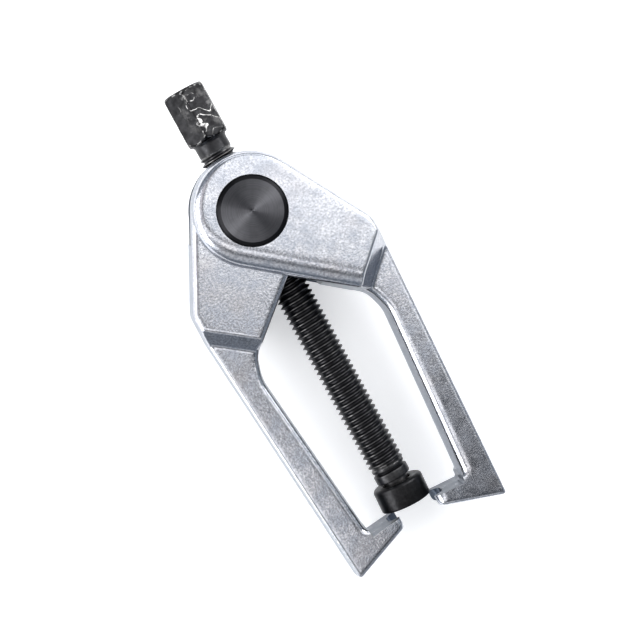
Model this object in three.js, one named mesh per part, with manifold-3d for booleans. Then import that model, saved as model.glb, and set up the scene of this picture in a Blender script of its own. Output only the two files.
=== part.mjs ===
// Scissor-type ball joint separator: two forged jaws hinged on a cross-drilled barrel, and a forcing
// screw with a swivelling foot that runs through the barrel and down between the jaws.
//
// Units are millimetres. +Z is the hinge axis, +Y runs along the screw towards its hexagon, +X is to
// the right. The origin is the centre of the barrel's rear end face, so the tool lies on z = 0.
import * as THREE from 'three';
import Module from 'manifold-3d';

const wasm = await Module();
wasm.setup();

// ---------------------------------------------------------------- driving dimensions
// barrel (hinge pin)
const BARREL_RADIUS = 11.7;
const BARREL_LENGTH = 40;
const BARREL_CHAMFER = 1.2;
const MID_Z = BARREL_LENGTH / 2;

// forcing screw, 1/2-13 UNC, drawn as its plain major diameter
const THREAD_RADIUS = 6.35;
const THREAD_TOP_Y = 23.4;
const THREAD_END_Y = -99.7;
const THREAD_END_CHAMFER = 0.8;
const SHANK_RADIUS = 5.75;
const HEX_ACROSS_FLATS = 14.29;
const HEX_BOTTOM_Y = 27.5;
const HEX_TOP_Y = 46.4;
const HEX_TURN_DEG = -5;
const COLLAR_RADIUS = 6.2;
const COLLAR_END_Y = -103.5;
const JOURNAL_RADIUS = 4.5;
const JOURNAL_END_Y = -110.2;
const GROOVE_RADIUS = 3.6;
const GROOVE_TOP_Y = -106.9;
const GROOVE_WIDTH = 1.6;

// swivelling foot and the ring that keeps it on the screw
const FOOT_RADIUS = 9;
const FOOT_TOP_Y = -104.8;
const FOOT_BOTTOM_Y = -113.3;
const FOOT_ROUNDING = 1.4;
const FOOT_MOUTH_RADIUS = 5.2;
const FOOT_CAVITY_RADIUS = 6.3;
const FOOT_LIP = 1.5;
const FOOT_FLOOR = 2.7;
const FOOT_PIVOT_Y = -108;
const FOOT_REST_TILT_DEG = 3.3;
const RING_INNER_RADIUS = 3.85;
const RING_OUTER_RADIUS = 5.55;
const RING_THICKNESS = 1.0;

// jaws, seen from the front, right-hand jaw with its screw side at x = 0
const RUNNING_GAP = 0.09;
const EAR_RADIUS = 20.3;
const EAR_CENTRE_Y = 0.5;
const EAR_UPPER_NORMAL_DEG = 28.6;
const EAR_LOWER_NORMAL_DEG = 230.2;
const EAR_CORNER = [34.8, -20.9];
const ARM_HALF_DEPTH = 9.25;
const INNER_EAR_NEAR = 6.9;
const INNER_EAR_FAR = 12.8;
const OUTER_EAR_NEAR = 13.1;
const OUTER_EAR_FAR = 19.0;
const ARM_TOP_OUTER = [35.1, -31.7];
const ARM_TOP_INNER = 44.5;
const ARM_INNER_BEND = [23.8, -51.5];
const HEEL = [29.5, -127.5];
const TIP_BOTTOM = [6.3, -119.1];
const TIP_TOP = [6.6, -114.9];
const HOOK_CORNER = [18.35, -115.8];
const MILLING_ALLOWANCE = 3;
const WEB_RADIUS = 23;
const WEB_EDGE_X = 9;
const OUTER_STEP = { high: [[32.7, -26.3], [21.8, -36.4]], run: 4.9 };
const INNER_STEP = { high: [[33.1, -26.6], [17.8, -38.5]], run: 4.8 };
const FORK_WIDTH = 12;
const FORK_DEPTH = 4.4;
const FORK_CORNER_RADIUS = 4;
const JAW_REST_SWING_DEG = 0.8;
const DRAFT = 0.06;
const ARM_ROUNDING = 1.3;
const OUTER_EAR_ROUNDING = 2.2;
const INNER_EAR_ROUNDING = 1.8;

const SEGMENTS = 48;

// ---------------------------------------------------------------- solids
const toSolid = (geometry) => {
  const bare = geometry.index ? geometry.toNonIndexed() : geometry;
  const seen = new Map();
  const points = [];
  const triangles = [];
  const position = bare.attributes.position;
  for (let i = 0; i < position.count; i += 1) {
    const p = [position.getX(i), position.getY(i), position.getZ(i)];
    const key = p.map((v) => Math.round(v * 1e5)).join();
    if (!seen.has(key)) {
      seen.set(key, points.length / 3);
      points.push(...p);
    }
    triangles.push(seen.get(key));
  }
  const kept = [];
  for (let i = 0; i < triangles.length; i += 3) {
    const [a, b, c] = triangles.slice(i, i + 3);
    if (a !== b && b !== c && a !== c) {
      kept.push(a, b, c);
    }
  }
  return new wasm.Manifold(
    new wasm.Mesh({
      numProp: 3,
      vertProperties: new Float32Array(points),
      triVerts: new Uint32Array(kept),
    }),
  );
};

const toGeometry = (solid) => {
  const mesh = solid.getMesh();
  const geometry = new THREE.BufferGeometry();
  const positions = new Float32Array(mesh.numVert * 3);
  for (let i = 0; i < mesh.numVert; i += 1) {
    for (let k = 0; k < 3; k += 1) {
      positions[i * 3 + k] = mesh.vertProperties[i * mesh.numProp + k];
    }
  }
  geometry.setAttribute('position', new THREE.BufferAttribute(positions, 3));
  geometry.setIndex(new THREE.BufferAttribute(new Uint32Array(mesh.triVerts), 1));
  return geometry;
};

// A solid of revolution about Y from [radius, y] pairs, given from the bottom end to the top one.
const turned = (profile, segments = SEGMENTS) => {
  const points = profile.map(([r, y]) => new THREE.Vector2(r, y));
  return toSolid(new THREE.LatheGeometry(points, segments));
};

const zCylinder = (radius, z0, z1, segments = SEGMENTS) => {
  const geometry = new THREE.CylinderGeometry(radius, radius, z1 - z0, segments);
  geometry.rotateX(Math.PI / 2);
  geometry.translate(0, 0, (z0 + z1) / 2);
  return toSolid(geometry);
};

const block = (low, high) => {
  const size = high.map((v, k) => v - low[k]);
  const geometry = new THREE.BoxGeometry(...size);
  geometry.translate(...low.map((v, k) => v + size[k] / 2));
  return toSolid(geometry);
};

// ---------------------------------------------------------------- outlines
// Rounds the corners of a polygon: each corner is [x, y, radius].
const rounded = (corners, stepDeg = 15) => {
  const out = [];
  corners.forEach(([x, y, radius], i) => {
    const at = new THREE.Vector2(x, y);
    const before = corners[(i + corners.length - 1) % corners.length];
    const after = corners[(i + 1) % corners.length];
    const u = new THREE.Vector2(before[0], before[1]).sub(at).normalize();
    const v = new THREE.Vector2(after[0], after[1]).sub(at).normalize();
    const half = Math.acos(THREE.MathUtils.clamp(u.dot(v), -1, 1)) / 2;
    const turn = Math.PI - 2 * half;
    if (!radius || turn < 0.02) {
      out.push(at);
      return;
    }
    const bisector = u.clone().add(v).normalize();
    const centre = at.clone().addScaledVector(bisector, radius / Math.sin(half));
    const from = at.clone().addScaledVector(u, radius / Math.tan(half)).sub(centre).angle();
    const side = Math.sign(u.cross(v)) || 1;
    const steps = Math.max(2, Math.ceil(THREE.MathUtils.radToDeg(turn) / stepDeg));
    for (let k = 0; k <= steps; k += 1) {
      const a = from - (side * turn * k) / steps;
      out.push(new THREE.Vector2(centre.x + radius * Math.cos(a), centre.y + radius * Math.sin(a)));
    }
  });
  return out.filter((p, i) => p.distanceTo(out[(i + 1) % out.length]) > 0.2);
};

// Moves every point of an anticlockwise outline inwards by the same distance.
const inset = (outline, distance) =>
  outline.map((p, i) => {
    const a = outline[(i + outline.length - 1) % outline.length];
    const b = outline[(i + 1) % outline.length];
    const n1 = new THREE.Vector2(a.y - p.y, p.x - a.x).normalize();
    const n2 = new THREE.Vector2(p.y - b.y, b.x - p.x).normalize();
    const n = n1.clone().add(n2);
    return p.clone().addScaledVector(n, distance / Math.max(0.35, 1 + n1.dot(n2)));
  });

// A plate whose outline shrinks by [z, inset] levels, like a forging between its two dies.
const forged = (outline, levels) => {
  const rings = levels.map(([z, d]) => inset(outline, d).map((p) => [p.x, p.y, z]));
  const count = outline.length;
  const positions = [];
  const triangle = (...corners) => corners.forEach((c) => positions.push(...c));
  for (let k = 0; k + 1 < rings.length; k += 1) {
    for (let i = 0; i < count; i += 1) {
      const j = (i + 1) % count;
      triangle(rings[k][i], rings[k][j], rings[k + 1][j]);
      triangle(rings[k][i], rings[k + 1][j], rings[k + 1][i]);
    }
  }
  [rings[0], rings[rings.length - 1]].forEach((ring, top) => {
    const faces = THREE.ShapeUtils.triangulateShape(
      ring.map(([x, y]) => new THREE.Vector2(x, y)),
      [],
    );
    faces.forEach(([a, b, c]) => (top ? triangle(ring[a], ring[b], ring[c]) : triangle(ring[c], ring[b], ring[a])));
  });
  const geometry = new THREE.BufferGeometry();
  geometry.setAttribute('position', new THREE.BufferAttribute(new Float32Array(positions), 3));
  return toSolid(geometry);
};

// ---------------------------------------------------------------- jaws
const radians = THREE.MathUtils.degToRad;

// A point on the ears' lower edge, at a distance along it and a distance in from it.
const lowerEdge = (along, inwards = 0) => {
  const a = radians(EAR_LOWER_NORMAL_DEG);
  const reach = EAR_RADIUS - inwards;
  const x = reach * Math.cos(a) - along * Math.sin(a);
  const y = reach * Math.sin(a) + along * Math.cos(a);
  return [x, EAR_CENTRE_Y + y];
};

// Where two tangents of the ears' round end meet, from the directions of their normals.
const tangentCorner = (deg1, deg2) => {
  const middle = radians((deg1 + deg2) / 2);
  const reach = EAR_RADIUS / Math.cos(radians((deg2 - deg1) / 2));
  return [reach * Math.cos(middle), EAR_CENTRE_Y + reach * Math.sin(middle), EAR_RADIUS];
};

const earOutline = () => {
  const middle = (EAR_UPPER_NORMAL_DEG + EAR_LOWER_NORMAL_DEG) / 2;
  return rounded([
    [...lowerEdge(ARM_TOP_INNER - 4.5), 0],
    [24.8, -43.6, 0],
    [...ARM_TOP_OUTER, 0],
    [...EAR_CORNER, 6],
    tangentCorner(EAR_UPPER_NORMAL_DEG, middle),
    tangentCorner(middle, EAR_LOWER_NORMAL_DEG),
  ]);
};

const armOutline = () =>
  rounded([
    [32.6, -26.5, 0],
    [18, -33, 0],
    [...lowerEdge(ARM_TOP_INNER - 8, 0.15), 0],
    [...lowerEdge(ARM_TOP_INNER, 0.15), 9],
    [...ARM_INNER_BEND, 14],
    [HOOK_CORNER[0] + 0.25, HOOK_CORNER[1] + MILLING_ALLOWANCE, 1],
    [TIP_TOP[0], TIP_TOP[1] + MILLING_ALLOWANCE, 2.2],
    [...TIP_BOTTOM, 2.2],
    [...HEEL, 2.2],
    [...ARM_TOP_OUTER, 0],
  ]);

// Levels from the parting plane to a face, drafted and then rounded over to it.
const towardsFace = (face, rounding, steps = 3) => {
  const levels = [[0, 0]];
  const shoulder = face - rounding;
  for (let k = 0; k <= steps; k += 1) {
    const a = (k / steps) * (Math.PI / 2);
    levels.push([shoulder + rounding * Math.sin(a), DRAFT * face + rounding * (1 - Math.cos(a))]);
  }
  return levels;
};

const mirroredLevels = (levels) => levels.map(([z, d]) => [-z, d]).reverse();

// The half space beyond a flank that drops from an ear's face, at +Z or -Z, to the arm's face.
const beyondStep = ({ high, run }, earFace) => {
  const a = new THREE.Vector3(...high[0], earFace);
  const along = new THREE.Vector3(...high[1], earFace).sub(a).normalize();
  const away = new THREE.Vector3(-along.y, along.x, 0);
  const rise = Math.abs(earFace) - ARM_HALF_DEPTH;
  const outwards = new THREE.Vector3(0, 0, Math.sign(earFace) * run);
  const normal = away.multiplyScalar(rise).add(outwards).normalize();
  const third = new THREE.Vector3().crossVectors(normal, along);
  const geometry = new THREE.BoxGeometry(80, 160, 160);
  geometry.translate(40, 0, 0);
  geometry.applyMatrix4(new THREE.Matrix4().makeBasis(normal, along, third));
  geometry.translate(a.x, a.y, a.z);
  return toSolid(geometry);
};

// The notch that lets a hook straddle a stud.
const forkNotch = () => {
  const root = TIP_BOTTOM[0] + FORK_DEPTH;
  const half = FORK_WIDTH / 2;
  const outline = rounded([
    [-2, -half, 0],
    [root, -half, FORK_CORNER_RADIUS],
    [root, half, FORK_CORNER_RADIUS],
    [-2, half, 0],
  ]);
  const geometry = new THREE.ExtrudeGeometry(new THREE.Shape(outline), { depth: 16, bevelEnabled: false });
  geometry.rotateX(-Math.PI / 2);
  geometry.translate(0, TIP_BOTTOM[1] - 7, 0);
  return toSolid(geometry);
};

// The cut that leaves the hook's bearing face flat.
const hookMilling = () => {
  const slope = (HOOK_CORNER[1] - TIP_TOP[1]) / (HOOK_CORNER[0] - TIP_TOP[0]);
  const outline = rounded([
    [TIP_TOP[0] - 5, TIP_TOP[1] - 5 * slope, 0],
    [HOOK_CORNER[0] - 0.1, HOOK_CORNER[1] - 0.1 * slope, 0.8],
    [HOOK_CORNER[0] + 0.4, HOOK_CORNER[1] + 6, 0],
    [TIP_TOP[0] - 5, TIP_TOP[1] + 6, 0],
  ]);
  const depth = 2 * ARM_HALF_DEPTH + 4;
  const geometry = new THREE.ExtrudeGeometry(new THREE.Shape(outline), { depth, bevelEnabled: false });
  geometry.translate(0, 0, -depth / 2);
  return toSolid(geometry);
};

// The right-hand jaw about the middle of the tool: outer ear in front, inner ear behind.
const makeJaw = () => {
  const armLevels = towardsFace(ARM_HALF_DEPTH, ARM_ROUNDING);
  const arm = forged(armOutline(), [...mirroredLevels(armLevels).slice(0, -1), ...armLevels]);
  const front = forged(earOutline(), towardsFace(OUTER_EAR_FAR, OUTER_EAR_ROUNDING));
  const rear = forged(earOutline(), mirroredLevels(towardsFace(INNER_EAR_FAR, INNER_EAR_ROUNDING)));
  return arm
    .add(front.subtract(beyondStep(OUTER_STEP, OUTER_EAR_FAR)))
    .add(rear.subtract(beyondStep(INNER_STEP, -INNER_EAR_FAR)))
    .subtract(zCylinder(WEB_RADIUS, -INNER_EAR_NEAR, OUTER_EAR_NEAR, 64))
    .subtract(block([-60, -60, -INNER_EAR_NEAR], [WEB_EDGE_X, 40, OUTER_EAR_NEAR]))
    .subtract(zCylinder(BARREL_RADIUS + RUNNING_GAP, -MID_Z, MID_Z, 64))
    .subtract(hookMilling())
    .subtract(forkNotch());
};

const placeJaw = (solid, left) => {
  const geometry = toGeometry(solid);
  if (left) {
    geometry.rotateY(Math.PI);
  }
  geometry.rotateZ(radians(JAW_REST_SWING_DEG));
  geometry.translate(0, 0, MID_Z);
  return geometry;
};

// ---------------------------------------------------------------- barrel, screw and foot
const makeBarrel = () => {
  const r = BARREL_RADIUS;
  const c = BARREL_CHAMFER;
  const h = MID_Z;
  const profile = [[0, -h], [r - c, -h], [r, c - h], [r, h - c], [r - c, h], [0, h]];
  const geometry = toGeometry(turned(profile, 64));
  geometry.rotateX(Math.PI / 2);
  const bore = turned([
    [0, -r - 1],
    [THREAD_RADIUS + 0.3, -r - 1],
    [THREAD_RADIUS + 0.3, r + 1],
    [0, r + 1],
  ]);
  const drilled = toGeometry(toSolid(geometry).subtract(bore));
  drilled.translate(0, 0, MID_Z);
  return drilled;
};

const makeScrew = () => {
  const cornerRadius = HEX_ACROSS_FLATS / Math.sqrt(3);
  const flatRadius = HEX_ACROSS_FLATS / 2;
  const c = THREAD_END_CHAMFER;
  const stem = turned([
    [0, JOURNAL_END_Y],
    [JOURNAL_RADIUS * 0.45, JOURNAL_END_Y],
    [JOURNAL_RADIUS * 0.85, JOURNAL_END_Y + 0.6],
    [JOURNAL_RADIUS, JOURNAL_END_Y + 1.4],
    [JOURNAL_RADIUS, GROOVE_TOP_Y - GROOVE_WIDTH],
    [GROOVE_RADIUS, GROOVE_TOP_Y - GROOVE_WIDTH],
    [GROOVE_RADIUS, GROOVE_TOP_Y],
    [JOURNAL_RADIUS, GROOVE_TOP_Y],
    [JOURNAL_RADIUS, COLLAR_END_Y],
    [COLLAR_RADIUS - 0.4, COLLAR_END_Y],
    [COLLAR_RADIUS, COLLAR_END_Y + 0.4],
    [COLLAR_RADIUS, THREAD_END_Y - 0.9],
    [COLLAR_RADIUS - 0.7, THREAD_END_Y - 0.6],
    [COLLAR_RADIUS - 0.7, THREAD_END_Y],
    [THREAD_RADIUS - c, THREAD_END_Y],
    [THREAD_RADIUS, THREAD_END_Y + c],
    [THREAD_RADIUS, THREAD_TOP_Y - c],
    [THREAD_RADIUS - c, THREAD_TOP_Y],
    [SHANK_RADIUS, THREAD_TOP_Y],
    [SHANK_RADIUS, HEX_BOTTOM_Y + 1],
    [0, HEX_BOTTOM_Y + 1],
  ]);
  const prism = new THREE.CylinderGeometry(cornerRadius, cornerRadius, HEX_TOP_Y - HEX_BOTTOM_Y, 6);
  prism.rotateY(radians(HEX_TURN_DEG));
  prism.translate(0, (HEX_TOP_Y + HEX_BOTTOM_Y) / 2, 0);
  const rounding = turned([
    [0, HEX_BOTTOM_Y],
    [flatRadius - 0.5, HEX_BOTTOM_Y],
    [flatRadius + 0.5, HEX_BOTTOM_Y + 0.9],
    [cornerRadius + 0.2, HEX_BOTTOM_Y + 2.6],
    [cornerRadius + 0.2, HEX_TOP_Y - 2.6],
    [flatRadius + 0.5, HEX_TOP_Y - 0.9],
    [flatRadius - 0.7, HEX_TOP_Y],
    [0, HEX_TOP_Y],
  ]);
  const head = toSolid(prism).intersect(rounding);
  const geometry = toGeometry(stem.add(head));
  geometry.translate(0, 0, MID_Z);
  return geometry;
};

const tilted = (solid) => {
  const geometry = toGeometry(solid);
  geometry.translate(0, -FOOT_PIVOT_Y, 0);
  geometry.rotateZ(-radians(FOOT_REST_TILT_DEG));
  geometry.translate(0, FOOT_PIVOT_Y, MID_Z);
  return geometry;
};

const makeFoot = () => {
  const r = FOOT_RADIUS;
  const q = FOOT_ROUNDING;
  const cavityFloor = FOOT_BOTTOM_Y + FOOT_FLOOR;
  return turned([
    [0, FOOT_BOTTOM_Y],
    [r - 0.5, FOOT_BOTTOM_Y],
    [r, FOOT_BOTTOM_Y + 0.5],
    [r, FOOT_TOP_Y - q],
    [r - q * 0.3, FOOT_TOP_Y - q * 0.3],
    [r - q, FOOT_TOP_Y],
    [FOOT_MOUTH_RADIUS + 0.9, FOOT_TOP_Y],
    [FOOT_MOUTH_RADIUS, FOOT_TOP_Y - 0.4],
    [FOOT_MOUTH_RADIUS, FOOT_TOP_Y - FOOT_LIP],
    [FOOT_CAVITY_RADIUS, FOOT_TOP_Y - FOOT_LIP],
    [FOOT_CAVITY_RADIUS, cavityFloor],
    [0, cavityFloor],
  ]);
};

const makeRing = () => {
  const middle = GROOVE_TOP_Y - GROOVE_WIDTH / 2;
  const half = RING_THICKNESS / 2;
  const geometry = toGeometry(
    turned([
      [RING_INNER_RADIUS, middle - half],
      [RING_OUTER_RADIUS, middle - half],
      [RING_OUTER_RADIUS, middle + half],
      [RING_INNER_RADIUS, middle + half],
      [RING_INNER_RADIUS, middle - half],
    ]),
  );
  geometry.translate(0, 0, MID_Z);
  return geometry;
};

// ---------------------------------------------------------------- assembly
const zincPlate = { color: 0xb4bcc8, metalness: 0.9, roughness: 0.42 };
const blackOxide = { color: 0x1d1d1f, metalness: 0.7, roughness: 0.45 };
const springSteel = { color: 0x6d6f73, metalness: 0.9, roughness: 0.35 };

const group = new THREE.Group();
const addPart = (name, geometry, look) => {
  const flat = geometry.index ? geometry.toNonIndexed() : geometry;
  flat.computeVertexNormals();
  const mesh = new THREE.Mesh(flat, new THREE.MeshStandardMaterial(look));
  mesh.name = name;
  group.add(mesh);
};

const jaw = makeJaw();
addPart('pivot_barrel', makeBarrel(), blackOxide);
addPart('jaw_right', placeJaw(jaw, false), zincPlate);
addPart('jaw_left', placeJaw(jaw, true), zincPlate);
addPart('forcing_screw', makeScrew(), blackOxide);
addPart('swivel_foot', tilted(makeFoot()), blackOxide);
addPart('foot_ring', makeRing(), springSteel);

export default group;
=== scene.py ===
"""Looks of a scissor-type ball joint separator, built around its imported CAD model.

Meshes are made in millimetres, in the row frame, and scaled to metres when they are finished.
"""
import math

import bmesh
import bpy
import numpy as np
from mathutils import Matrix, Vector


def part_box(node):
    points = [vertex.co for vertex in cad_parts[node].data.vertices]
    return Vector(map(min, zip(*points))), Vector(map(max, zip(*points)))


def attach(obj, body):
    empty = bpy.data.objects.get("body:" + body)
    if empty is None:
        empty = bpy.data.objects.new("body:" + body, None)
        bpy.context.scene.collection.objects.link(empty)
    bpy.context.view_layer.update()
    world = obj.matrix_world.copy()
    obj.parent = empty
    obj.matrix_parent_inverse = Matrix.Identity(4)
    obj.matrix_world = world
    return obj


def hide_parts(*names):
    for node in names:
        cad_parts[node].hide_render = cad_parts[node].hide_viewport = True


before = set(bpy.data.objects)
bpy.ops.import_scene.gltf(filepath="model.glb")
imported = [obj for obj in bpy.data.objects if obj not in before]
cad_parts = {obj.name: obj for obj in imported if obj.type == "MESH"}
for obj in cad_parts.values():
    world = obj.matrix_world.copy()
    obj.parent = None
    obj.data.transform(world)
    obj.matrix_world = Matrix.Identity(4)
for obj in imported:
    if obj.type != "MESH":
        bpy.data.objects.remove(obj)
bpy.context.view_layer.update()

MM = 0.001


def box_mm(node):
    low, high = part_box(node)
    return low / MM, high / MM


# ---------------------------------------------------------------- sizes taken from the frame
barrel_low, barrel_high = box_mm("pivot_barrel")
screw_low, screw_high = box_mm("forcing_screw")
ring_low, ring_high = box_mm("foot_ring")
BARREL_RADIUS = (barrel_high.x - barrel_low.x) / 2
BARREL_LENGTH = barrel_high.z
MID_Z = BARREL_LENGTH / 2
HEX_TOP_Y = screw_high.y
JOURNAL_END_Y = screw_low.y
RING_OUTER_RADIUS = (ring_high.x - ring_low.x) / 2
RING_THICKNESS = ring_high.y - ring_low.y
RING_Y = (ring_high.y + ring_low.y) / 2

# ---------------------------------------------------------------- barrel
BARREL_CHAMFER = 1.2
BORE_CLEARANCE = 0.3
CENTRE_MARK_RADIUS = 0.75
CENTRE_MARK_DEPTH = 0.35

# ---------------------------------------------------------------- screw, 1/2-13 UNC
THREAD_RADIUS = 6.35
THREAD_PITCH = 25.4 / 13
THREAD_DEPTH = 1.12
THREAD_TOP_Y = 23.4
THREAD_END_Y = -99.7
SHANK_RADIUS = 5.75
HEX_ACROSS_FLATS = 14.29
HEX_BOTTOM_Y = 27.5
HEX_TURN_DEG = -5
HEX_CORNER_ROUNDING = 0.5
HEX_VOXEL = 0.24
HEX_SOFTENING = 2
SOCKET_SLIP = Vector((3.0, 37.0, MID_Z + 6.5)) * MM
COLLAR_RADIUS = 6.2
COLLAR_END_Y = -103.5
JOURNAL_RADIUS = 4.5
GROOVE_RADIUS = 3.6
GROOVE_TOP_Y = -106.9
GROOVE_WIDTH = 1.6

# ---------------------------------------------------------------- foot and ring
FOOT_RADIUS = 9.0
FOOT_TOP_Y = -104.8
FOOT_BOTTOM_Y = -113.3
FOOT_ROUNDING = 1.4
FOOT_MOUTH_RADIUS = 5.2
FOOT_CAVITY_RADIUS = 6.3
FOOT_LIP = 1.5
FOOT_FLOOR = 2.7
FOOT_PIVOT_Y = -108
FOOT_REST_TILT_DEG = 3.3
RING_INNER_RADIUS = 3.85
RING_SLOT_DEG = 24

# ---------------------------------------------------------------- jaws, right-hand one from the front
RUNNING_GAP = 0.09
EAR_RADIUS = 20.3
EAR_CENTRE_Y = 0.5
EAR_UPPER_NORMAL_DEG = 28.6
EAR_LOWER_NORMAL_DEG = 230.2
EAR_CORNER = (34.8, -20.9)
EAR_CORNER_ROUNDING = 6
EAR_FOOT = (24.8, -43.6)
ARM_HALF_DEPTH = 9.25
INNER_EAR_NEAR = 6.9
INNER_EAR_FAR = 12.8
OUTER_EAR_NEAR = 13.1
OUTER_EAR_FAR = 19.0
ARM_ROOT_OUTER = (32.6, -26.5)
ARM_ROOT_INNER = (18, -33)
ARM_LAP = 0.15
ARM_TOP_OUTER = (35.1, -31.7)
ARM_TOP_INNER = 44.5
ARM_LAP_ROUNDING = 9
ARM_INNER_BEND = (23.8, -51.5)
ARM_BEND_ROUNDING = 14
HEEL = (29.5, -127.5)
TIP_BOTTOM = (6.3, -119.1)
TIP_TOP = (6.6, -114.9)
TIP_ROUNDING = 2.2
HEEL_ROUNDING = 1.6
HOOK_CORNER = (18.35, -115.8)
MILLING_ALLOWANCE = 3.0
WEB_RADIUS = 23.0
WEB_EDGE_X = 9.0
SLOT_REACH = 60
SLOT_TOP_Y = 40
OUTER_STEP = ((32.7, -26.3), (21.8, -36.4), 4.9)
INNER_STEP = ((33.1, -26.6), (17.8, -38.5), 4.8)
FORK_WIDTH = 12.0
FORK_DEPTH = 4.4
FORK_CORNER_RADIUS = 4.0
JAW_REST_SWING_DEG = 0.8
DRAFT = 0.06
BORE_RIM = 0.2

FORGING_VOXEL = 0.45
FORGING_SOFTENING = 7
CUTTER_REACH = 80

# ---------------------------------------------------------------- meshes
SMOOTHING_STEPS = (0.55, -0.30)
SHARP_EDGE_DEG = 35


# ---------------------------------------------------------------- mesh tools
def new_object(name, vertices, faces):
    mesh = bpy.data.meshes.new(name)
    mesh.from_pydata([tuple(v) for v in vertices], [], faces)
    mesh.validate()
    obj = bpy.data.objects.new(name, mesh)
    bpy.context.scene.collection.objects.link(obj)
    return obj


def apply_modifiers(obj):
    graph = bpy.context.evaluated_depsgraph_get()
    made = bpy.data.meshes.new_from_object(obj.evaluated_get(graph))
    obj.modifiers.clear()
    obj.data = made


def merge_close(obj, distance):
    mesh = bmesh.new()
    mesh.from_mesh(obj.data)
    bmesh.ops.remove_doubles(mesh, verts=mesh.verts, dist=distance)
    bmesh.ops.dissolve_degenerate(mesh, edges=mesh.edges, dist=distance)
    mesh.to_mesh(obj.data)
    mesh.free()


def remesh(obj, voxel):
    modifier = obj.modifiers.new("remesh", "REMESH")
    modifier.mode = "VOXEL"
    modifier.voxel_size = voxel
    apply_modifiers(obj)


def boolean(obj, cutter, operation):
    """Joins or cuts obj with cutter, which is used up. Cut faces keep the cutter's material."""
    modifier = obj.modifiers.new("boolean", "BOOLEAN")
    modifier.operation = operation
    modifier.solver = "MANIFOLD"
    modifier.material_mode = "TRANSFER"
    modifier.object = cutter
    apply_modifiers(obj)
    bpy.data.objects.remove(cutter)


def rounded(corners, step_deg=5.0):
    """A closed outline of corners (x, y, radius), each one an arc unless its radius is 0."""
    points = []
    count = len(corners)
    for i, (x, y, radius) in enumerate(corners):
        here = Vector((x, y))
        to_last = (Vector(corners[i - 1][:2]) - here).normalized()
        to_next = (Vector(corners[(i + 1) % count][:2]) - here).normalized()
        half = to_last.angle(to_next) / 2
        turn = math.pi - 2 * half
        if not radius or turn < 0.02:
            points.append(here)
            continue
        centre = here + (to_last + to_next).normalized() * (radius / math.sin(half))
        arm = here + to_last * (radius / math.tan(half)) - centre
        side = math.copysign(1.0, to_last.x * to_next.y - to_last.y * to_next.x)
        steps = max(3, math.ceil(math.degrees(turn) / step_deg))
        for k in range(steps + 1):
            points.append(centre + Matrix.Rotation(-side * turn * k / steps, 2) @ arm)
    return [p for i, p in enumerate(points) if (p - points[(i + 1) % len(points)]).length > 0.05]


def profile(corners, step_deg=12.0):
    """An open line of corners (radius, y, rounding), from the bottom end to the top one."""
    closed = rounded([(*corners[0][:2], 0), *corners[1:-1], (*corners[-1][:2], 0)], step_deg)
    return [(p.x, p.y) for p in closed]


def turned(name, line, segments=96):
    """A solid of revolution about Y from (radius, y) pairs that start and end on the axis."""
    vertices, rows = [], []
    for radius, y in line:
        if radius < 1e-6:
            rows.append([len(vertices)] * segments)
            vertices.append((0, y, 0))
            continue
        rows.append(list(range(len(vertices), len(vertices) + segments)))
        for i in range(segments):
            angle = 2 * math.pi * i / segments
            vertices.append((radius * math.sin(angle), y, radius * math.cos(angle)))
    faces = []
    for low, high in zip(rows, rows[1:]):
        for i in range(segments):
            j = (i + 1) % segments
            face = dict.fromkeys((low[i], low[j], high[j], high[i]))
            if len(face) > 2:
                faces.append(list(face))
    return new_object(name, vertices, faces)


def extruded(name, outline, low, high):
    """A prism over an anticlockwise outline, between two heights along Z."""
    count = len(outline)
    vertices = [(x, y, low) for x, y in outline] + [(x, y, high) for x, y in outline]
    faces = [list(range(count))[::-1], list(range(count, 2 * count))]
    for i in range(count):
        j = (i + 1) % count
        faces.append([i, j, count + j, count + i])
    return new_object(name, vertices, faces)


def place(obj, *steps):
    for step in steps:
        obj.data.transform(step)
    return obj


def turn_about(axis, degrees):
    return Matrix.Rotation(math.radians(degrees), 4, axis)


def finish_piece(obj, body, nodes):
    """Scales a piece to metres, shades it smooth but for its sharp edges, and hands it to its CAD body."""
    obj.data.transform(Matrix.Scale(MM, 4))
    obj.data.polygons.foreach_set("use_smooth", [True] * len(obj.data.polygons))
    obj.data.set_sharp_from_angle(angle=math.radians(SHARP_EDGE_DEG))
    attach(obj, body)
    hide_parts(*nodes)


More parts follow.
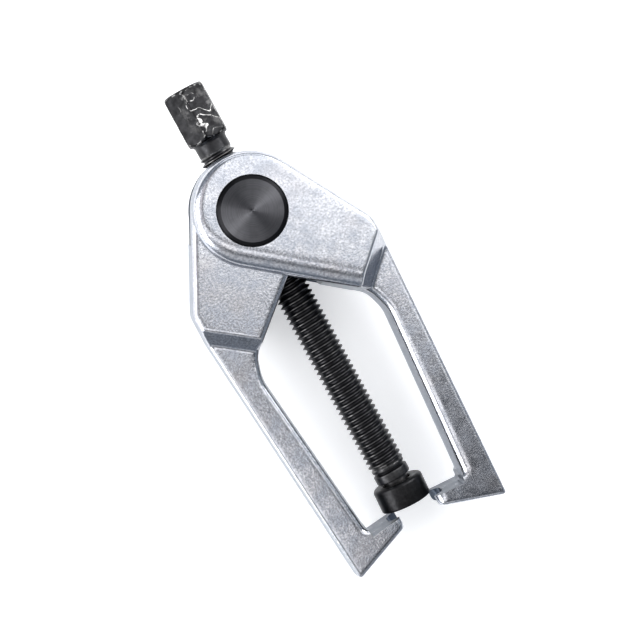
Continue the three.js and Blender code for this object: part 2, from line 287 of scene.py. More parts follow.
# ---------------------------------------------------------------- materials
class Nodes:
    """A short way to write a material's node tree."""

    def __init__(self, name):
        self.material = bpy.data.materials.new(name)
        self.material.use_nodes = True
        self.tree = self.material.node_tree
        self.shader = self.tree.nodes["Principled BSDF"]
        self.place = self.add("ShaderNodeTexCoord").outputs["Object"]

    def link(self, value, socket):
        if isinstance(value, bpy.types.NodeSocket):
            self.tree.links.new(value, socket)
        else:
            socket.default_value = value

    def add(self, kind, inputs=(), **settings):
        node = self.tree.nodes.new(kind)
        for key, value in settings.items():
            setattr(node, key, value)
        for key, value in dict(inputs).items():
            self.link(value, node.inputs[key])
        return node

    def noise(self, size_mm, detail=2.0, roughness=0.5, stretch=None):
        place = self.place
        if stretch:
            place = self.add("ShaderNodeMapping", {"Vector": place, "Scale": stretch}).outputs[0]
        inputs = {"Vector": place, "Scale": 1 / (size_mm * MM), "Detail": detail, "Roughness": roughness}
        return self.add("ShaderNodeTexNoise", inputs).outputs["Fac"]

    def math(self, operation, a, b=0.0):
        return self.add("ShaderNodeMath", {0: a, 1: b}, operation=operation).outputs[0]

    def span(self, value, low, high, out_low=0.0, out_high=1.0):
        inputs = {"Value": value, "From Min": low, "From Max": high, "To Min": out_low, "To Max": out_high}
        return self.add("ShaderNodeMapRange", inputs).outputs["Result"]

    def mix(self, share, a, b):
        node = self.add("ShaderNodeMix", data_type="RGBA")
        self.link(share, node.inputs[0])
        self.link(a, node.inputs[6])
        self.link(b, node.inputs[7])
        return node.outputs[2]

    def edges(self, low, high):
        """From 0 on flat surfaces to 1 on convex edges, or in hollows if low is the higher value."""
        return self.span(self.add("ShaderNodeNewGeometry").outputs["Pointiness"], low, high)

    def distance(self, point):
        inputs = {0: self.place, 1: point}
        return self.add("ShaderNodeVectorMath", inputs, operation="DISTANCE").outputs["Value"]

    def normal_z(self):
        """How far a surface faces along the barrel, which no joint of a jaw changes."""
        normal = self.add("ShaderNodeNewGeometry").outputs["Normal"]
        return self.add("ShaderNodeSeparateXYZ", {"Vector": normal}).outputs[2]

    def bump(self, height, depth_mm, strength=1.0, below=None):
        inputs = {"Height": height, "Distance": depth_mm * MM, "Strength": strength}
        if below is not None:
            inputs["Normal"] = below
        return self.add("ShaderNodeBump", inputs).outputs["Normal"]

    def set(self, **sockets):
        for key, value in sockets.items():
            self.link(value, self.shader.inputs[key.replace("_", " ")])
        return self.material


def forged_zinc():
    """Blasted forging under bright zinc: fine sparkle, soft casts, rougher flanks where flash was cut, and
    painted shade that darkens the flanks and hollows.
    """
    n = Nodes("forged_zinc")
    dim, bright = (0.40, 0.415, 0.46, 1), (0.68, 0.69, 0.73, 1)
    blue_cast, brown_cast = (0.40, 0.435, 0.505, 1), (0.58, 0.54, 0.53, 1)
    # shaded_flank and the hollow colour are painted shade, not the zinc's own colour
    rubbed_edge, shaded_flank, hollow_shade = (0.68, 0.69, 0.71, 1), (0.19, 0.225, 0.28, 1), (0.12, 0.14, 0.17, 1)
    grain = n.noise(0.70, detail=3.0, roughness=0.7)
    patches = n.noise(6.0, detail=4.0, roughness=0.6)
    cast = n.noise(14.0, detail=1.0)
    edge = n.edges(0.505, 0.56)
    hollow = n.edges(0.495, 0.45)
    flank = n.span(n.math("ABSOLUTE", n.normal_z()), 0.45, 0.15)
    colour = n.mix(n.span(grain, 0.36, 0.62), dim, bright)
    colour = n.mix(n.span(patches, 0.45, 0.65, 0.0, 0.5), colour, blue_cast)
    colour = n.mix(n.span(cast, 0.5, 0.75, 0.0, 0.3), colour, brown_cast)
    colour = n.mix(n.math("MULTIPLY", edge, 0.6), colour, rubbed_edge)
    # painted shade: surfaces facing across the barrel (the side flanks) are painted darker
    colour = n.mix(n.math("MULTIPLY", flank, 0.75), colour, shaded_flank)
    # painted shade: concave hollows and fillets are painted darker
    colour = n.mix(n.math("MULTIPLY", hollow, 0.6), colour, hollow_shade)
    rough = n.math("ADD", n.span(patches, 0.3, 0.7, 0.17, 0.25), n.math("MULTIPLY", flank, 0.12))
    calm = n.math("MULTIPLY", n.span(edge, 0.0, 1.0, 1.0, 0.5), n.span(patches, 0.3, 0.7, 0.6, 1.3))
    normal = n.bump(n.math("MULTIPLY", grain, calm), 0.05, 0.65)
    normal = n.bump(n.noise(3.0, detail=2.0), 0.02, 0.35, below=normal)
    return n.set(Base_Color=colour, Metallic=1.0, Roughness=rough, Normal=normal)


def machined_zinc():
    """Milled and reamed faces under the same plating: smooth, a little darker, with fine cutter lines."""
    n = Nodes("machined_zinc")
    groove, ridge, stain = (0.10, 0.12, 0.155, 1), (0.135, 0.16, 0.20, 1), (0.085, 0.105, 0.135, 1)
    lines = n.noise(0.5, detail=2.0, stretch=(1.0, 1.0, 0.12))
    patches = n.noise(5.0, detail=2.0)
    colour = n.mix(n.span(lines, 0.35, 0.65), groove, ridge)
    colour = n.mix(n.span(patches, 0.4, 0.7, 0.0, 0.3), colour, stain)
    rough = n.span(patches, 0.3, 0.7, 0.26, 0.36)
    normal = n.bump(lines, 0.02, 0.3)
    return n.set(Base_Color=colour, Metallic=1.0, Roughness=rough, Normal=normal)


def socket_scuffs(n):
    """How bare a face is: broken scratches and haze where a socket slipped, and knocked corners."""
    knocks = n.noise(1.3, detail=3.0)
    strokes = n.noise(5.5, detail=0.8)
    haze = n.noise(5.0, detail=5.0, roughness=0.65)
    lines = n.span(n.math("ABSOLUTE", n.math("SUBTRACT", strokes, 0.5)), 0.0, 0.014, 1.0, 0.0)
    lines = n.math("MULTIPLY", lines, n.span(knocks, 0.42, 0.56))
    slipped = n.span(n.distance(SOCKET_SLIP), 4.5 * MM, 9 * MM, 1.0, 0.0)
    worn = n.math("ADD", lines, n.span(haze, 0.50, 0.7, 0.0, 0.14))
    worn = n.math("MULTIPLY", worn, slipped)
    corners = n.math("MULTIPLY", n.edges(0.505, 0.53), n.span(n.noise(1.6, detail=3.0), 0.50, 0.58))
    return n.math("MAXIMUM", worn, n.math("MULTIPLY", corners, 0.6))


def black_oxide(name, tone, wear, scuff=0.0):
    """Blackened steel: near black, faint mottling, and bright metal on rubbed edges and scuffed faces."""
    n = Nodes(name)
    bare_edge, bare_steel = (0.30, 0.295, 0.29, 1), (0.62, 0.61, 0.60, 1)
    mottle = n.noise(2.4, detail=4.0, roughness=0.6)
    fine = n.noise(0.4, detail=2.0)
    edge = n.edges(0.51, 0.58)
    dark, light = ((k * tone, k * tone, 1.06 * k * tone, 1) for k in (0.030, 0.062))
    colour = n.mix(n.span(mottle, 0.35, 0.7), dark, light)
    rubbed = n.math("MULTIPLY", edge, n.span(n.noise(1.2, detail=3.0), 0.35, 0.65, 0.4, 1.0))
    colour = n.mix(n.math("MULTIPLY", rubbed, wear), colour, bare_edge)
    rough = n.span(mottle, 0.3, 0.7, 0.42, 0.30)
    if scuff:
        colour = n.mix(n.math("MULTIPLY", socket_scuffs(n), scuff), colour, bare_steel)
    normal = n.bump(fine, 0.03, 0.35)
    return n.set(Base_Color=colour, Metallic=1.0, Roughness=rough, Normal=normal)


def turned_black():
    """The barrel: turned steel under black oxide, with concentric tool marks on its end faces, and painted
    shade that turns each chamfer ring near black.
    """
    n = Nodes("turned_black_oxide")
    groove, ridge = (0.085, 0.085, 0.092, 1), (0.115, 0.115, 0.125, 1)
    dull, chamfer_shade_colour = (0.06, 0.06, 0.064, 1), (0.022, 0.022, 0.024, 1)
    flat_radius = BARREL_RADIUS - BARREL_CHAMFER
    parts = n.add("ShaderNodeSeparateXYZ", {"Vector": n.place})
    x2 = n.math("MULTIPLY", parts.outputs[0], parts.outputs[0])
    y2 = n.math("MULTIPLY", parts.outputs[1], parts.outputs[1])
    radius = n.math("SQRT", n.math("ADD", x2, y2))
    inputs = {"W": n.math("MULTIPLY", radius, 1 / MM), "Scale": 3.2, "Detail": 3.0}
    marks = n.add("ShaderNodeTexNoise", inputs, noise_dimensions="1D").outputs["Fac"]
    mottle = n.noise(3.0, detail=4.0)
    colour = n.mix(n.span(marks, 0.3, 0.7), groove, ridge)
    colour = n.mix(n.span(mottle, 0.45, 0.7, 0.0, 0.4), colour, dull)
    # painted shade: the chamfer ring round each end face is painted near black
    chamfer_shade = n.span(radius, (flat_radius - 0.2) * MM, flat_radius * MM)
    colour = n.mix(chamfer_shade, colour, chamfer_shade_colour)
    normal = n.bump(marks, 0.012, 0.3)
    tangent = n.add("ShaderNodeTangent", direction_type="RADIAL", axis="Z").outputs[0]
    n.set(Base_Color=colour, Metallic=1.0, Roughness=0.44, Normal=normal)
    return n.set(Anisotropic=0.95, Anisotropic_Rotation=0.25, Tangent=tangent)


def spring_steel():
    """The hidden ring: drawn spring wire, blued, with a fine lengthwise grain."""
    n = Nodes("spring_steel")
    blued, drawn = (0.10, 0.11, 0.14, 1), (0.24, 0.25, 0.28, 1)
    grain = n.noise(0.3, detail=3.0, stretch=(1.0, 4.0, 1.0))
    colour = n.mix(n.span(grain, 0.3, 0.7), blued, drawn)
    rough = n.span(grain, 0.3, 0.7, 0.25, 0.4)
    normal = n.bump(grain, 0.02, 0.4)
    return n.set(Base_Color=colour, Metallic=1.0, Roughness=rough, Normal=normal)


def pale_floor():
    """White studio floor, a little self-lit so that it stays pale away from the lights."""
    n = Nodes("pale_floor")
    tone = n.noise(60.0, detail=2.0)
    colour = n.mix(tone, (0.90, 0.90, 0.90, 1), (0.94, 0.94, 0.94, 1))
    return n.set(Base_Color=colour, Roughness=0.9, Emission_Color=(1, 1, 1, 1), Emission_Strength=0.40)


ZINC = forged_zinc()
MILLED = machined_zinc()
BLACK = black_oxide("black_oxide", tone=0.75, wear=1.0)
SOOTY = black_oxide("dull_black_oxide", tone=0.42, wear=0.2)
SCUFFED = black_oxide("scuffed_black_oxide", tone=0.34, wear=0.1, scuff=0.85)
TURNED = turned_black()
SPRING = spring_steel()


# ---------------------------------------------------------------- jaws
def lower_edge(along, inwards=0.0):
    """A point on the ears' lower edge, at a distance along it and a distance in from it."""
    a = math.radians(EAR_LOWER_NORMAL_DEG)
    reach = EAR_RADIUS - inwards
    x = reach * math.cos(a) - along * math.sin(a)
    y = reach * math.sin(a) + along * math.cos(a)
    return (x, EAR_CENTRE_Y + y)


def tangent_corner(deg1, deg2):
    """Where two tangents of the ears' round end meet, from the directions of their normals."""
    middle = math.radians((deg1 + deg2) / 2)
    reach = EAR_RADIUS / math.cos(math.radians((deg2 - deg1) / 2))
    return (reach * math.cos(middle), EAR_CENTRE_Y + reach * math.sin(middle), EAR_RADIUS)


def ear_outline():
    middle = (EAR_UPPER_NORMAL_DEG + EAR_LOWER_NORMAL_DEG) / 2
    return rounded([
        (*lower_edge(ARM_TOP_INNER - 4.5), 0),
        (*EAR_FOOT, 0),
        (*ARM_TOP_OUTER, 0),
        (*EAR_CORNER, EAR_CORNER_ROUNDING),
        tangent_corner(EAR_UPPER_NORMAL_DEG, middle),
        tangent_corner(middle, EAR_LOWER_NORMAL_DEG),
    ])


def arm_outline():
    return rounded([
        (*ARM_ROOT_OUTER, 0),
        (*ARM_ROOT_INNER, 0),
        (*lower_edge(ARM_TOP_INNER - 8, ARM_LAP), 0),
        (*lower_edge(ARM_TOP_INNER, ARM_LAP), ARM_LAP_ROUNDING),
        (*ARM_INNER_BEND, ARM_BEND_ROUNDING),
        (HOOK_CORNER[0] + 0.25, HOOK_CORNER[1] + MILLING_ALLOWANCE, 1),
        (TIP_TOP[0], TIP_TOP[1] + MILLING_ALLOWANCE, TIP_ROUNDING),
        (*TIP_BOTTOM, TIP_ROUNDING),
        (*HEEL, HEEL_ROUNDING),
        (*ARM_TOP_OUTER, 0),
    ])


def edge_normals(outline):
    """Each point's outward direction and how much an inset there has to be stretched."""
    found = []
    count = len(outline)
    for i, p in enumerate(outline):
        a, b = outline[i - 1], outline[(i + 1) % count]
        n1 = Vector((p.y - a.y, a.x - p.x)).normalized()
        n2 = Vector((b.y - p.y, p.x - b.x)).normalized()
        found.append((n1 + n2) / max(0.35, 1 + n1.dot(n2)))
    return found


def forged(name, outline, start, face, roll, steps=8):
    """A drafted plate from start to face, rolled over to its face. roll(degrees) gives the roll's width
    and depth on the edges whose normals point that way."""
    sign = math.copysign(1.0, face)
    normals = edge_normals(outline)
    rings = [[(*p, start) for p in outline]]
    for k in range(steps + 1):
        a = (k / steps) * math.pi / 2
        ring = []
        for p, n in zip(outline, normals):
            width, depth = roll(math.degrees(math.atan2(n.y, n.x)) % 360)
            inset = DRAFT * abs(face) + width * (1 - math.cos(a))
            q = p - n * inset
            ring.append((q.x, q.y, face - sign * depth * (1 - math.sin(a))))
        rings.append(ring)
    count = len(outline)
    vertices = [v for ring in rings for v in ring]
    faces = [list(range(count))[::-1], [len(vertices) - count + i for i in range(count)]]
    for k in range(len(rings) - 1):
        for i in range(count):
            j = (i + 1) % count
            faces.append([k * count + i, k * count + j, (k + 1) * count + j, (k + 1) * count + i])
    if sign < 0:
        faces = [f[::-1] for f in faces]
    return new_object(name, vertices, faces)


def towards(degrees, centre, sharpness):
    """1 where an edge faces the centre direction, falling to 0 as it turns away."""
    return max(0.0, math.cos(math.radians(degrees - centre))) ** sharpness


def outer_ear_roll(degrees):
    lower = towards(degrees, 232, 3)
    round_end = towards(degrees, 160, 2)
    return 1.9 + 5.2 * lower + 1.8 * round_end, 2.0 + 1.8 * lower + 0.6 * round_end


def inner_ear_roll(_):
    return 1.8, 1.8


def front_arm_roll(degrees):
    inside = towards(degrees, 188, 2)
    return 0.9 + 2.3 * inside, 0.9 + 1.9 * inside


def rear_arm_roll(degrees):
    inside = towards(degrees, 188, 2)
    return 1.2 + 0.6 * inside, 1.2 + 0.6 * inside


def beyond_step(step, ear_face):
    """The space beyond a flank that drops from an ear's face to the arm's face."""
    high1, high2, run = step
    sign = math.copysign(1.0, ear_face)
    start = Vector((*high1, ear_face))
    along = (Vector((*high2, ear_face)) - start).normalized()
    away = Vector((-along.y, along.x, 0))
    rise = abs(ear_face) - ARM_HALF_DEPTH
    normal = (away * rise + Vector((0, 0, sign * run))).normalized()
    third = normal.cross(along)
    basis = Matrix((normal, along, third)).transposed().to_4x4()
    r = CUTTER_REACH
    cutter = extruded("beyond", [(0, -r), (r, -r), (r, r), (0, r)], -r, r)
    return place(cutter, basis, Matrix.Translation(start))


def soften(obj, rounds):
    """Rounds a voxel mesh off, each round's second step giving back the volume that the first took."""
    mesh = obj.data
    count = len(mesh.vertices)
    co = np.empty(count * 3)
    mesh.vertices.foreach_get("co", co)
    co = co.reshape(-1, 3)
    ends = np.empty(len(mesh.edges) * 2, dtype=np.int64)
    mesh.edges.foreach_get("vertices", ends)
    a, b = ends[0::2], ends[1::2]
    share = 1.0 / np.maximum(np.bincount(ends, minlength=count), 1)
    for _ in range(rounds):
        for step in SMOOTHING_STEPS:
            pull = np.empty_like(co)
            for k in range(3):
                total = np.bincount(a, co[b, k], count) + np.bincount(b, co[a, k], count)
                pull[:, k] = total * share - co[:, k]
            co += step * pull
    mesh.vertices.foreach_set("co", co.ravel())
    mesh.update()


def bore_cutter():
    """The reamed bore, with a small countersink where it opens in the outer ear's face."""
    r = BARREL_RADIUS + RUNNING_GAP
    line = [(0, -MID_Z - 1), (r + BORE_RIM + 1, -MID_Z - 1)]
    line += [(r + BORE_RIM, -OUTER_EAR_FAR), (r, -OUTER_EAR_FAR + BORE_RIM)]
    line += [(r, OUTER_EAR_FAR - BORE_RIM), (r + BORE_RIM, OUTER_EAR_FAR)]
    line += [(r + BORE_RIM + 1, MID_Z + 1), (0, MID_Z + 1)]
    return place(turned("bore", line, 128), turn_about("X", 90))


def fork_cutter():
    root, half = TIP_BOTTOM[0] + FORK_DEPTH, FORK_WIDTH / 2
    r = FORK_CORNER_RADIUS
    outline = rounded([(-2, -half, 0), (root, -half, r), (root, half, r), (-2, half, 0)])
    cutter = extruded("fork", outline, -8, 8)
    return place(cutter, turn_about("X", -90), Matrix.Translation((0, TIP_BOTTOM[1] + 1, 0)))


def milling_cutter():
    slope = (HOOK_CORNER[1] - TIP_TOP[1]) / (HOOK_CORNER[0] - TIP_TOP[0])
    outline = rounded([
        (TIP_TOP[0] - 5, TIP_TOP[1] - 5 * slope, 0),
        (HOOK_CORNER[0] - 0.1, HOOK_CORNER[1] - 0.1 * slope, 0.8),
        (HOOK_CORNER[0] + 0.4, HOOK_CORNER[1] + 6, 0),
        (TIP_TOP[0] - 5, TIP_TOP[1] + 6, 0),
    ])
    return extruded("milling", outline, -ARM_HALF_DEPTH - 2, ARM_HALF_DEPTH + 2)


def slot_cutters():
    """The slot between the ears: a disc round the barrel, and all on the screw's side of the web."""
    low, high, r = -INNER_EAR_NEAR, OUTER_EAR_NEAR, SLOT_REACH
    angles = np.linspace(0, 2 * math.pi, 129)[:-1]
    disc = [(WEB_RADIUS * math.cos(a), WEB_RADIUS * math.sin(a)) for a in angles]
    side = [(-r, -r), (WEB_EDGE_X, -r), (WEB_EDGE_X, SLOT_TOP_Y), (-r, SLOT_TOP_Y)]
    return [extruded("web", disc, low, high), extruded("slot", side, low, high)]


def make_jaw():
    """The right-hand jaw about the middle of the tool: forged and blasted first, then machined."""
    jaw = forged("jaw", arm_outline(), 0, ARM_HALF_DEPTH, front_arm_roll)
    boolean(jaw, forged("rear_half", arm_outline(), 0.02, -ARM_HALF_DEPTH, rear_arm_roll), "UNION")
    outer = forged("outer_ear", ear_outline(), -0.01, OUTER_EAR_FAR, outer_ear_roll)
    boolean(outer, beyond_step(OUTER_STEP, OUTER_EAR_FAR), "DIFFERENCE")
    inner = forged("inner_ear", ear_outline(), 0.01, -INNER_EAR_FAR, inner_ear_roll)
    boolean(inner, beyond_step(INNER_STEP, -INNER_EAR_FAR), "DIFFERENCE")
    boolean(jaw, outer, "UNION")
    boolean(jaw, inner, "UNION")
    remesh(jaw, FORGING_VOXEL)
    soften(jaw, FORGING_SOFTENING)
    jaw.data.materials.clear()
    jaw.data.materials.append(ZINC)
    for cutter in (*slot_cutters(), bore_cutter(), milling_cutter(), fork_cutter()):
        cutter.data.materials.append(MILLED)
        boolean(jaw, cutter, "DIFFERENCE")
    return jaw


def add_jaws():
    right = make_jaw()
    left = right.copy()
    left.data = right.data.copy()
    bpy.context.scene.collection.objects.link(left)
    place(left, turn_about("Y", 180))
    for obj, side in ((right, "right"), (left, "left")):
        place(obj, turn_about("Z", JAW_REST_SWING_DEG), Matrix.Translation((0, 0, MID_Z)))
        obj.name = f"jaw_{side}_forging"
        finish_piece(obj, f"jaw_{side}", [f"jaw_{side}"])


# ---------------------------------------------------------------- barrel
def add_barrel():
    """The chamfered pin with a lathe's centre mark in each end face, cross-bored for the screw."""
    r, c, h = BARREL_RADIUS, BARREL_CHAMFER, MID_Z
    m, d = CENTRE_MARK_RADIUS, CENTRE_MARK_DEPTH
    line = profile([
        (0, d - h, 0), (d, d - h, 0), (m, -h, 0.1), (r - c, -h, 0.25), (r, c - h, 0.3),
        (r, h - c, 0.3), (r - c, h, 0.25), (m, h, 0.1), (d, h - d, 0), (0, h - d, 0),
    ])
    barrel = place(turned("pivot_barrel_turned", line, 128), turn_about("X", 90))
    bore = THREAD_RADIUS + BORE_CLEARANCE
    drill = turned("cross_bore", [(0, -r - 1), (bore, -r - 1), (bore, r + 1), (0, r + 1)])
    boolean(barrel, drill, "DIFFERENCE")
    place(barrel, Matrix.Translation((0, 0, MID_Z)))
    barrel.data.materials.clear()
    barrel.data.materials.append(TURNED)
    finish_piece(barrel, "barrel", ["pivot_barrel"])


# ---------------------------------------------------------------- screw
def thread(low, high, segments=72):
    """A 60-degree thread whose mesh rows follow the helix and run out to the root at both ends."""
    root = THREAD_RADIUS - THREAD_DEPTH
    flank_low, flank_high = root + 0.05, THREAD_RADIUS - 0.06
    rising = [(0.0, root), (0.06, root), (0.12, flank_low), (0.42, flank_high), (0.46, THREAD_RADIUS)]
    shape = rising + [(1 - share, radius) for share, radius in rising[:0:-1]]
    turns = math.ceil((high - low) / THREAD_PITCH) + 2
    angles = [2 * math.pi * i / segments for i in range(segments)]
    vertices = [(0, low, 0), (0, high, 0)]
    for n in range(-1, turns):
        for share, radius in shape:
            for angle in angles:
                y = low + THREAD_PITCH * (n + share + angle / (2 * math.pi))
                y = min(max(y, low), high)
                runout = min(1.0, min(y - low, high - y) / (0.8 * THREAD_PITCH))
                reach = root + (radius - root) * runout
                vertices.append((reach * math.sin(angle), y, reach * math.cos(angle)))
    rows = (len(vertices) - 2) // segments
    faces = []
    for i in range(segments):
        j = (i + 1) % segments
        last = 2 + (rows - 1) * segments
        faces += [[0, 2 + j, 2 + i], [1, last + i, last + j]]
        turn_on = len(shape) if j == 0 else 0
        for k in range(rows - 1 - turn_on):
            a, b = 2 + k * segments + i, 2 + (k + turn_on) * segments + j
            faces.append([a, b, b + segments, a + segments])
    obj = new_object("thread", vertices, faces)
    merge_close(obj, 1e-4)
    return obj


def hexagon_head():
    """The drive hexagon, with turned ends and edges that are softened as on a worn tool."""
    flat = HEX_ACROSS_FLATS / 2
    corner = HEX_ACROSS_FLATS / math.sqrt(3)
    angles = [math.radians(60 * k) for k in range(5, -1, -1)]
    corners = [(corner * math.sin(a), corner * math.cos(a), HEX_CORNER_ROUNDING) for a in angles]
    head = extruded("head", rounded(corners), HEX_BOTTOM_Y - 1, HEX_TOP_Y + 1)
    place(head, turn_about("X", -90), Matrix.Scale(-1, 4, (0, 0, 1)))
    head.data.flip_normals()
    place(head, turn_about("Y", HEX_TURN_DEG))
    ends = turned("ends", profile([
        (0, HEX_BOTTOM_Y, 0), (flat - 0.5, HEX_BOTTOM_Y, 0.5), (flat + 0.5, HEX_BOTTOM_Y + 0.9, 1.5),
        (corner + 0.2, HEX_BOTTOM_Y + 2.6, 0), (corner + 0.2, HEX_TOP_Y - 2.6, 0),
        (flat + 0.5, HEX_TOP_Y - 0.9, 1.5), (flat - 0.7, HEX_TOP_Y, 0.5), (0, HEX_TOP_Y, 0),
    ]))
    boolean(head, ends, "INTERSECT")
    remesh(head, HEX_VOXEL)
    soften(head, HEX_SOFTENING)
    return head


def screw_stem():
    """Everything on the screw that is turned plain: shank, collar, journal and ring groove."""
    core = THREAD_RADIUS - THREAD_DEPTH - 0.4
    c, j, g = COLLAR_RADIUS, JOURNAL_RADIUS, GROOVE_RADIUS
    return turned("stem", profile([
        (0, JOURNAL_END_Y, 0), (j, JOURNAL_END_Y, 1.4), (j, GROOVE_TOP_Y - GROOVE_WIDTH, 0.2),
        (g, GROOVE_TOP_Y - GROOVE_WIDTH, 0.2), (g, GROOVE_TOP_Y, 0.2), (j, GROOVE_TOP_Y, 0.2),
        (j, COLLAR_END_Y, 0.3), (c, COLLAR_END_Y, 0.4), (c, THREAD_END_Y - 0.7, 0.4),
        (c - 0.8, THREAD_END_Y - 0.6, 0.2), (c - 0.8, THREAD_END_Y + 0.2, 0.2),
        (c - 0.25, THREAD_END_Y + 0.4, 0.3), (c - 0.25, THREAD_END_Y + 1.3, 0.3),
        (core, THREAD_END_Y + 2.6, 0), (core, THREAD_TOP_Y - 2, 0), (SHANK_RADIUS, THREAD_TOP_Y - 0.4, 0.4),
        (SHANK_RADIUS, HEX_BOTTOM_Y - 0.8, 0.8), (SHANK_RADIUS + 0.5, HEX_BOTTOM_Y + 0.1, 0),
        (SHANK_RADIUS, HEX_BOTTOM_Y + 2, 0), (0, HEX_BOTTOM_Y + 2, 0),
    ]), 72)


def add_screw():
    screw = hexagon_head()
    screw.name = "forcing_screw_threaded"
    screw.data.materials.clear()
    screw.data.materials.append(SCUFFED)
    for part in (screw_stem(), thread(THREAD_END_Y + 0.4, THREAD_TOP_Y)):
        part.data.materials.append(BLACK)
        boolean(screw, part, "UNION")
    place(screw, Matrix.Translation((0, 0, MID_Z)))
    finish_piece(screw, "screw", ["forcing_screw"])


# ---------------------------------------------------------------- foot and ring
def tilted(obj):
    """Leans a piece with the foot, about the middle of its ball-like joint."""
    pivot = Vector((0, FOOT_PIVOT_Y, 0))
    place(obj, Matrix.Translation(-pivot), turn_about("Z", -FOOT_REST_TILT_DEG))
    return place(obj, Matrix.Translation(pivot + Vector((0, 0, MID_Z))))


def add_foot():
    r, floor = FOOT_RADIUS, FOOT_BOTTOM_Y + FOOT_FLOOR
    foot = turned("swivel_foot_turned", profile([
        (0, FOOT_BOTTOM_Y, 0), (r, FOOT_BOTTOM_Y, 0.6), (r, FOOT_TOP_Y, FOOT_ROUNDING),
        (FOOT_MOUTH_RADIUS, FOOT_TOP_Y, 0.7), (FOOT_MOUTH_RADIUS, FOOT_TOP_Y - FOOT_LIP, 0.2),
        (FOOT_CAVITY_RADIUS, FOOT_TOP_Y - FOOT_LIP, 0.2), (FOOT_CAVITY_RADIUS, floor, 1.0), (0, floor, 0),
    ]))
    foot.data.materials.append(SOOTY)
    finish_piece(tilted(foot), "foot", ["swivel_foot"])


def add_ring():
    """A split ring of round-edged strip, open at the back."""
    middle = (RING_INNER_RADIUS + RING_OUTER_RADIUS) / 2
    w, h = (RING_OUTER_RADIUS - RING_INNER_RADIUS) / 2, RING_THICKNESS / 2
    section = rounded([(-w, -h, 0.25), (w, -h, 0.25), (w, h, 0.25), (-w, h, 0.25)], 20)
    count, steps = len(section), 72
    vertices = []
    for k in range(steps + 1):
        angle = math.radians(180 + RING_SLOT_DEG / 2 + (360 - RING_SLOT_DEG) * k / steps)
        for x, y in section:
            vertices.append(((middle + x) * math.sin(angle), RING_Y + y, (middle + x) * math.cos(angle)))
    faces = [list(range(count))[::-1], [steps * count + i for i in range(count)]]
    for k in range(steps):
        for i in range(count):
            j = (i + 1) % count
            faces.append([k * count + i, k * count + j, (k + 1) * count + j, (k + 1) * count + i])
    ring = new_object("foot_ring_split", vertices, [f[::-1] for f in faces])
    ring.data.materials.append(SPRING)
    place(ring, Matrix.Translation((0, 0, MID_Z)))
    finish_piece(ring, "ring", ["foot_ring"])


# ---------------------------------------------------------------- camera, floor and light
VIEW_TARGET = Vector((3.69, -43.84, 20.0)) * MM
VIEW_DISTANCE = 604 * MM
VIEW_WIDTH = 217.8 * MM
VIEW_AZIMUTH_DEG = -4.4
VIEW_TILT_DEG = 4.95
VIEW_ROLL_DEG = 28.75

# in metres; the floor lies just under the barrel's end face
FLOOR_REACH = 3.0
FLOOR_TOP = -0.0002
FLOOR_BOTTOM = -0.02
ROOM_TINT = (0.78, 0.87, 1.0, 1)
# Z of a direction, brightness
ROOM_BANDS = ((0.10, 0.42), (0.28, 0.12), (0.42, 0.38), (0.72, 0.38), (0.86, 0.09))
NEUTRAL = (1, 1, 1)
# name, place along the camera's right, up and back in metres, size in metres, radiance, tint
SOFTBOXES = (
    ("overhead", (0.32, 0.31, 1.05), (0.78, 0.76), 1.8, NEUTRAL),
    ("near_fill", (-0.13, -0.33, 1.05), (0.82, 0.25), 1.7, (0.99, 0.98, 0.98)),
    ("low_fill", (0.10, -0.85, 0.75), (1.2, 0.5), 0.35, (1.0, 0.95, 0.88)),
    ("left_fill", (-0.45, 0.10, 1.05), (0.60, 0.50), 0.8, (1.0, 0.94, 0.95)),
    ("left_bank", (-0.95, -0.35, 0.70), (0.8, 1.2), 5.5, NEUTRAL),
    ("far_bank", (0.0, 1.2, 0.7), (1.2, 0.5), 1.5, NEUTRAL),
    ("right_bank", (0.80, 0.75, 0.65), (0.7, 0.7), 6.5, NEUTRAL),
)


def view_axes():
    """The camera's right, up and backward directions in the row frame."""
    x, y = math.sin(math.radians(VIEW_AZIMUTH_DEG)), math.sin(math.radians(VIEW_TILT_DEG))
    back = Vector((x, y, math.sqrt(1 - x * x - y * y)))
    roll = math.radians(VIEW_ROLL_DEG)
    right = Vector((math.sin(roll), math.cos(roll), 0)).cross(back).normalized()
    return right, back.cross(right), back


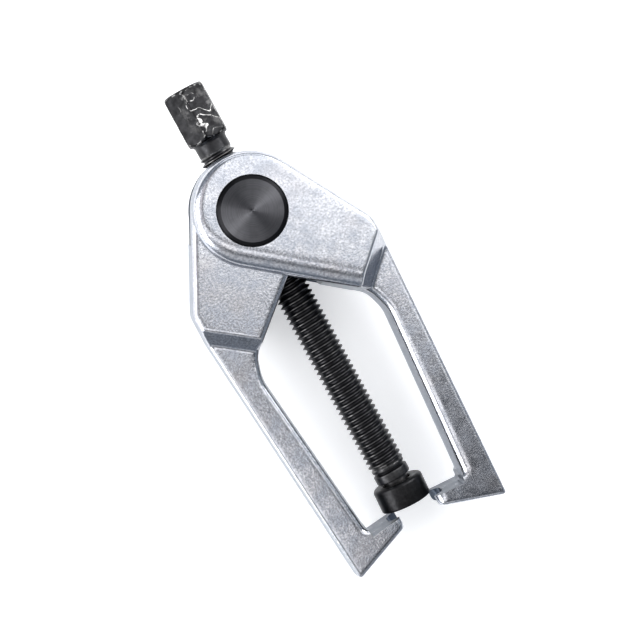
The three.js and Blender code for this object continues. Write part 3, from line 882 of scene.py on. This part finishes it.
def add_camera():
    right, up, back = view_axes()
    data = bpy.data.cameras.new("camera")
    data.lens = data.sensor_width * VIEW_DISTANCE / VIEW_WIDTH
    data.clip_start, data.clip_end = 0.01, 20
    camera = bpy.data.objects.new("camera", data)
    turn = Matrix((right, up, back)).transposed().to_4x4()
    camera.matrix_world = Matrix.Translation(VIEW_TARGET + back * VIEW_DISTANCE) @ turn
    bpy.context.scene.collection.objects.link(camera)
    bpy.context.scene.camera = camera


def add_light(name, place_in_view, size, radiance, tint):
    """A softbox at (right, up, back) along the camera's axes from the view's target, facing it."""
    axes = view_axes()
    right, up, back = place_in_view
    offset = axes[0] * right + axes[1] * up + axes[2] * back
    data = bpy.data.lights.new(name, "AREA")
    data.shape = "RECTANGLE"
    data.size, data.size_y = size
    data.energy = radiance * math.pi * size[0] * size[1]
    data.color = tint
    lamp = bpy.data.objects.new(name, data)
    lamp.visible_camera = False
    z = offset.normalized()
    x = axes[1].cross(z).normalized()
    turn = Matrix((x, z.cross(x), z)).transposed().to_4x4()
    lamp.matrix_world = Matrix.Translation(VIEW_TARGET + offset) @ turn
    bpy.context.scene.collection.objects.link(lamp)


def studio_world():
    """A cool room: pale at the horizon and in a band of panels at mid height, dim overhead."""
    world = bpy.data.worlds.new("studio")
    world.use_nodes = True
    nodes, links = world.node_tree.nodes, world.node_tree.links
    parts = nodes.new("ShaderNodeSeparateXYZ")
    links.new(nodes.new("ShaderNodeTexCoord").outputs["Generated"], parts.inputs[0])
    height = nodes.new("ShaderNodeValToRGB")
    links.new(parts.outputs[2], height.inputs["Fac"])
    bands = height.color_ramp.elements
    bands.remove(bands[1])
    for rise, grey in ROOM_BANDS:
        bands.new(rise).color = (grey, grey, grey, 1)
    bands.remove(bands[0])
    links.new(height.outputs["Color"], nodes["Background"].inputs["Strength"])
    nodes["Background"].inputs["Color"].default_value = ROOM_TINT
    return world


def add_stage():
    r = FLOOR_REACH
    floor = extruded("floor", [(-r, -r), (r, -r), (r, r), (-r, r)], FLOOR_BOTTOM, FLOOR_TOP)
    floor.data.materials.append(pale_floor())
    bpy.context.scene.world = studio_world()
    for softbox in SOFTBOXES:
        add_light(*softbox)
    bpy.context.scene.view_settings.view_transform = "Standard"


add_camera()
add_stage()
add_jaws()
add_barrel()
add_screw()
add_foot()
add_ring()
